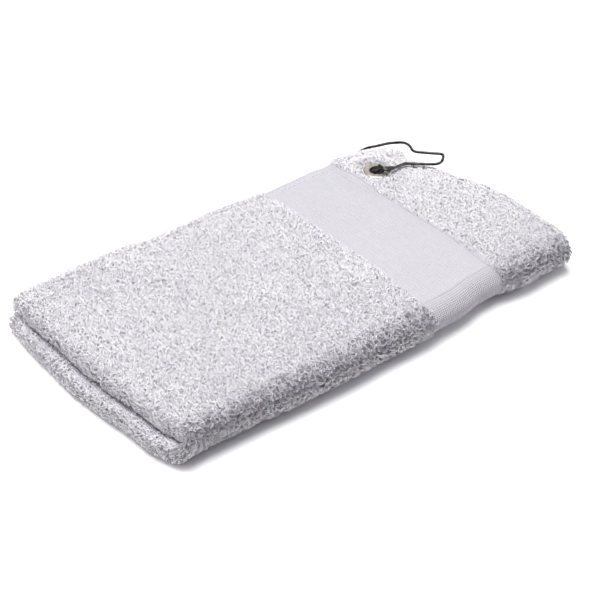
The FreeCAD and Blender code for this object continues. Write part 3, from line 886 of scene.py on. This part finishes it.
# ---------------------------------------- metal
def swept_wire(name, corners, look, radius=WIRE_R):
    """Round wire along one smooth curve near the corners, with rounded ends."""
    curve = bpy.data.curves.new(name + "_route", "CURVE")
    curve.dimensions = "3D"
    spline = curve.splines.new("NURBS")
    spline.points.add(len(corners) - 1)
    for point, corner in zip(spline.points, corners):
        point.co = (*(np.asarray(corner) * MM), 1)
    spline.order_u = 3
    spline.use_endpoint_u = True
    spline.resolution_u = 10
    route = bpy.data.objects.new(name + "_route", curve)
    line = bpy.data.meshes.new_from_object(route)
    path = np.array([vertex.co for vertex in line.vertices], float) / MM
    bpy.data.objects.remove(route)
    bpy.data.meshes.remove(line)
    step = np.linalg.norm(np.diff(path, axis=0), axis=1)
    path = path[np.concatenate([[True], step > 1e-4])]
    way = np.gradient(path, axis=0)
    way /= np.linalg.norm(way, axis=1, keepdims=True)
    up = np.array([0.0, 0.0, 1.0])
    side = np.cross(way, up)
    side /= np.linalg.norm(side, axis=1, keepdims=True)
    top = np.cross(side, way)
    cap = np.array([0.05, 0.55, 0.85])      # rings of the rounded ends, as shares of the radius
    reach = -np.sqrt(1 - cap**2) * radius
    first, last = path[:1] + way[:1] * reach[:, None], path[-1:] - way[-1:] * reach[::-1, None]
    centres = np.concatenate([first, path, last])
    sizes = np.concatenate([cap, np.ones(len(path)), cap[::-1]]) * radius
    side, top = (np.pad(across, ((len(cap), len(cap)), (0, 0)), "edge") for across in (side, top))
    sides = 16
    turn = np.arange(sides) * 2 * math.pi / sides
    ring = side[:, None] * np.cos(turn)[None, :, None] + top[:, None] * np.sin(turn)[None, :, None]
    points = centres[:, None] + ring * sizes[:, None, None]
    return new_object(name, points, tube_faces(len(centres), sides), look)


def clip_wires():
    """Fixed wire from the latch end to the neck's turn, and the sprung arm back from it."""

    def height(degrees):
        over = ease(degrees, 255, 279) if degrees > 200 else 1 - ease(degrees, 40, 120)
        return WIRE_UNDER + (WIRE_OVER - WIRE_UNDER) * float(over)

    def round_bulb(degrees, radius, level):
        turn = math.radians(degrees)
        return clip_point(radius * math.cos(turn), radius * math.sin(turn), level)

    turn_x = NECK_REACH - NECK_HALF
    neck = NECK_HALF - 0.7
    tip = NECK_REACH - 0.6
    frame_route = [round_bulb(a, BULB_R, height(a)) for a in (297, 290, 283, 276, 267, 258, 250, 238)]
    frame_route += [round_bulb(a, BULB_R + 0.4, height(a) + 0.2) for a in range(222, 80, -12)]
    frame_route += [round_bulb(a, BULB_R - 0.3, height(a)) for a in range(72, 28, -8)]
    throat_and_neck = (
        (BULB_R - 1.6, neck + 0.8),
        (BULB_R, neck - 0.7),
        (BULB_R + 2.4, neck - 1.0),
        (turn_x, neck - 0.2),
        (turn_x + 3.6, neck + 0.3),
        (tip, neck - 1.3),
        (tip, 0),
    )
    frame_route += [clip_point(along, across, WIRE_OVER) for along, across in throat_and_neck]

    # along and across the clip, and how far the arm has risen over the bulb's wire
    rise = 2 * WIRE_R + 0.1
    arm_points = (
        (tip, 0, 0),
        (tip, -2.8, 0),
        (NECK_REACH - 3, -5.9, 0),
        (turn_x - 5, -7.2, 0),
        (BULB_R - 0.6, -8.6, 0),
        (BULB_R - 2.6, -9.0, 0.1),
        (BULB_R - 3.8, -10.8, 0.2),
        (9.6, -14.6, 0.5),
        (6.9, -18.6, 0.7),
        (5.6, -20.2, 0.8),
        (3.4, -19.4, 1),
        (1.6, -17.6, 1),
        (0.6, -16.6, 1),
    )
    arm_route = [clip_point(along, across, WIRE_OVER + share * rise) for along, across, share in arm_points]
    return swept_wire("clip_wire", frame_route, WIRE), swept_wire("clip_arm", arm_route, WIRE)


# ---------------------------------------- build the towel
LEAVES = {
    "lower": (LOWER, ("third", "bottom"), "lower_leaf"),
    "upper": (UPPER, ("second", "top"), "upper_leaf"),
}

for number, (leaf, (side, layers, body)) in enumerate(LEAVES.items()):
    inner_layer, outer_layer = layers
    seed = 100 * (number + 1)
    cloth = leaf_cloth(f"{leaf}_cloth", side)
    zones = [f"{layer}_{zone}" for layer in layers for zone in ("terry", "end_strip")]
    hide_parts(*zones, f"{leaf}_end_roll")

    seen = side > 0
    blocks = [
        field(OUTER, side, 1.0 if seen else 1.7, FACE - GROUND + (0.35 if seen else 0.0), seed + 1),
        field(INNER, side, 1.45, 1.9, seed + 2),
        roll_pile(side, 1.15, FACE - GROUND + 0.2, seed + 3),
        edge_pile(OUTER, side, seed + 4),
        edge_pile(INNER, side, seed + 5),
    ]
    loops = pile(f"{leaf}_pile", blocks, seed + 6)

    v = leaf_lines(side, LEAF_FINE)
    outer_band = band(f"{leaf}_border_outside", OUTER, v)
    inner_band = band(f"{leaf}_border_inside", INNER, v)
    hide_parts(f"{outer_layer}_border")
    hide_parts(f"{inner_layer}_border")

    hems = []
    for half, layer in ((OUTER, outer_layer), (INNER, inner_layer)):
        end_strip = end_hem(f"{layer}_turned_end_hem", side * np.linspace(SEAM, V_MAX, LEAF_LINES), half)
        side_strip = side_hem(f"{layer}_turned_side_hem", side, half)
        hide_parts(f"{layer}_end_hem")
        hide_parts(f"{layer}_side_hem")
        hems += [end_strip, side_strip]

    thread = stitches(f"{leaf}_stitches", side)
    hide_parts(f"{leaf}_stitching")

    extras = [*loops, outer_band, inner_band, *hems, thread]
    for piece in (cloth, *extras):
        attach(piece, body)

outer_fold = fold_cloth("outer_fold_cloth", OUTER)
inner_fold = fold_cloth("inner_fold_cloth", INNER)
outer_blocks = [wrap_pile(1.3, FACE - GROUND + 0.3, 301), corner_pile(OUTER, 1.15, 2.1, 302)]
outer_loops = pile("outer_fold_pile", outer_blocks, 303)
inner_loops = pile("inner_fold_pile", [corner_pile(INNER, 1.3, 1.9, 304)], 305)
v = fold_lines(FOLD_FINE)
fold_band = band("outer_fold_border_cloth", OUTER, v)
inner_fold_band = band("inner_fold_border_cloth", INNER, v)
fold_hem = end_hem("outer_fold_turned_hem", v, OUTER)
inner_fold_hem = end_hem("inner_fold_turned_hem", v, INNER)

wraps = {
    "outer": (outer_fold, outer_loops, fold_band, fold_hem, (FOLD_Z - LEAF_R, FOLD_Z + LEAF_R)),
    "inner": (inner_fold, inner_loops, inner_fold_band, inner_fold_hem, (FOLD_Z - 0.3, FOLD_Z + 0.3)),
}
for wrap, (cloth, loops, border, hem, (low, high)) in wraps.items():
    corner = ["fold_corner_roll"] if wrap == "outer" else []
    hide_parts(f"{wrap}_fold_terry", f"{wrap}_fold_end_strip", *corner)
    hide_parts(f"{wrap}_fold_border")
    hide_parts(f"{wrap}_fold_end_hem")
    for piece in (cloth, *loops, border, hem):
        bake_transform(piece)

for name in ("eyelet", "eyelet_washer"):
    ring = frame["nodes"][name]
    for slot in ring.material_slots:
        slot.material = NICKEL

wire, arm = clip_wires()
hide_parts("clip_frame")
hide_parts("clip_gate")
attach(wire, "clip")
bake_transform(arm)


# ---------------------------------------- studio
def floor():
    """Wide, nearly white table just under the towel."""
    mat, tree, shader = material("studio_floor")
    shader.inputs["Roughness"].default_value = 0.7
    shader.inputs["Specular IOR Level"].default_value = 0.1
    place = node(tree, "ShaderNodeTexCoord")
    mottled(tree, shader, place.outputs["Object"], 3.0, (0.945, 0.945, 0.945), (0.965, 0.965, 0.965))
    bpy.ops.mesh.primitive_plane_add(size=12, location=(0, 0, -0.0003))
    ground = bpy.context.object
    ground.name = "studio_floor"
    ground.data.materials.append(mat)


def sky():
    """Pale surroundings: bright near the horizon, dimmer above, where the lamps are."""
    world = bpy.data.worlds.new("studio")
    world.use_nodes = True
    bpy.context.scene.world = world
    tree = world.node_tree
    place = node(tree, "ShaderNodeTexCoord")
    split = node(tree, "ShaderNodeSeparateXYZ")
    ramp = node(tree, "ShaderNodeValToRGB")
    ramp.color_ramp.elements[0].position = 0.03
    ramp.color_ramp.elements[0].color = (0.66, 0.645, 0.69, 1)
    ramp.color_ramp.elements[1].position = 0.16
    ramp.color_ramp.elements[1].color = (0.15, 0.147, 0.165, 1)
    link(tree, place.outputs["Generated"], split.inputs["Vector"])
    link(tree, split.outputs["Z"], ramp.inputs["Fac"])
    link(tree, ramp.outputs["Color"], tree.nodes["Background"].inputs["Color"])
    tree.nodes["Background"].inputs["Strength"].default_value = 1.0


def aimed(name, data, place, way):
    """Lamp or camera at a place, looking along a way."""
    obj = bpy.data.objects.new(name, data)
    obj.location = place
    obj.rotation_euler = Vector(way).to_track_quat("-Z", "Y").to_euler()
    bpy.context.scene.collection.objects.link(obj)
    return obj


def sun(name, place, strength, spread, colour):
    """Even soft light from one side of the sky."""
    data = bpy.data.lights.new(name, "SUN")
    data.energy = strength
    data.angle = math.radians(spread)
    data.color = colour
    aimed(name, data, place, -Vector(place))


def lamp(name, place, target, size, power, colour):
    """Soft round lamp aimed at a target."""
    data = bpy.data.lights.new(name, "AREA")
    data.shape = "DISK"
    data.size = size
    data.energy = power
    data.color = colour
    aimed(name, data, place, Vector(target) - Vector(place))


def camera():
    """The photo's own view, recovered from its perspective."""
    data = bpy.data.cameras.new("camera")
    data.lens = 92.2
    data.sensor_width = 36.0
    data.clip_start, data.clip_end = 0.01, 50
    seen_from, way = (-0.3938, -0.4691, 0.4661), (0.508, 0.612, -0.606)
    bpy.context.scene.camera = aimed("camera", data, seen_from, way)


floor()
sky()
sun("key_overhead", (0.05, 0.22, 1.4), 3.7, 44, (1.0, 0.99, 0.995))
lamp("back_softbox", (0.75, 1.05, 0.75), (0, 0, 0), 0.8, 2.8, (1.0, 1.0, 1.0))
lamp("fill_left", (-1.2, 0.35, 0.7), (0, 0, 0), 0.9, 6.0, (1.0, 0.98, 0.98))
lamp("fill_right", (0.72, -0.38, 0.3), (0.12, 0, 0), 0.4, 1.8, (0.98, 0.98, 1.0))
camera()
bpy.context.scene.view_settings.view_transform = "Standard"
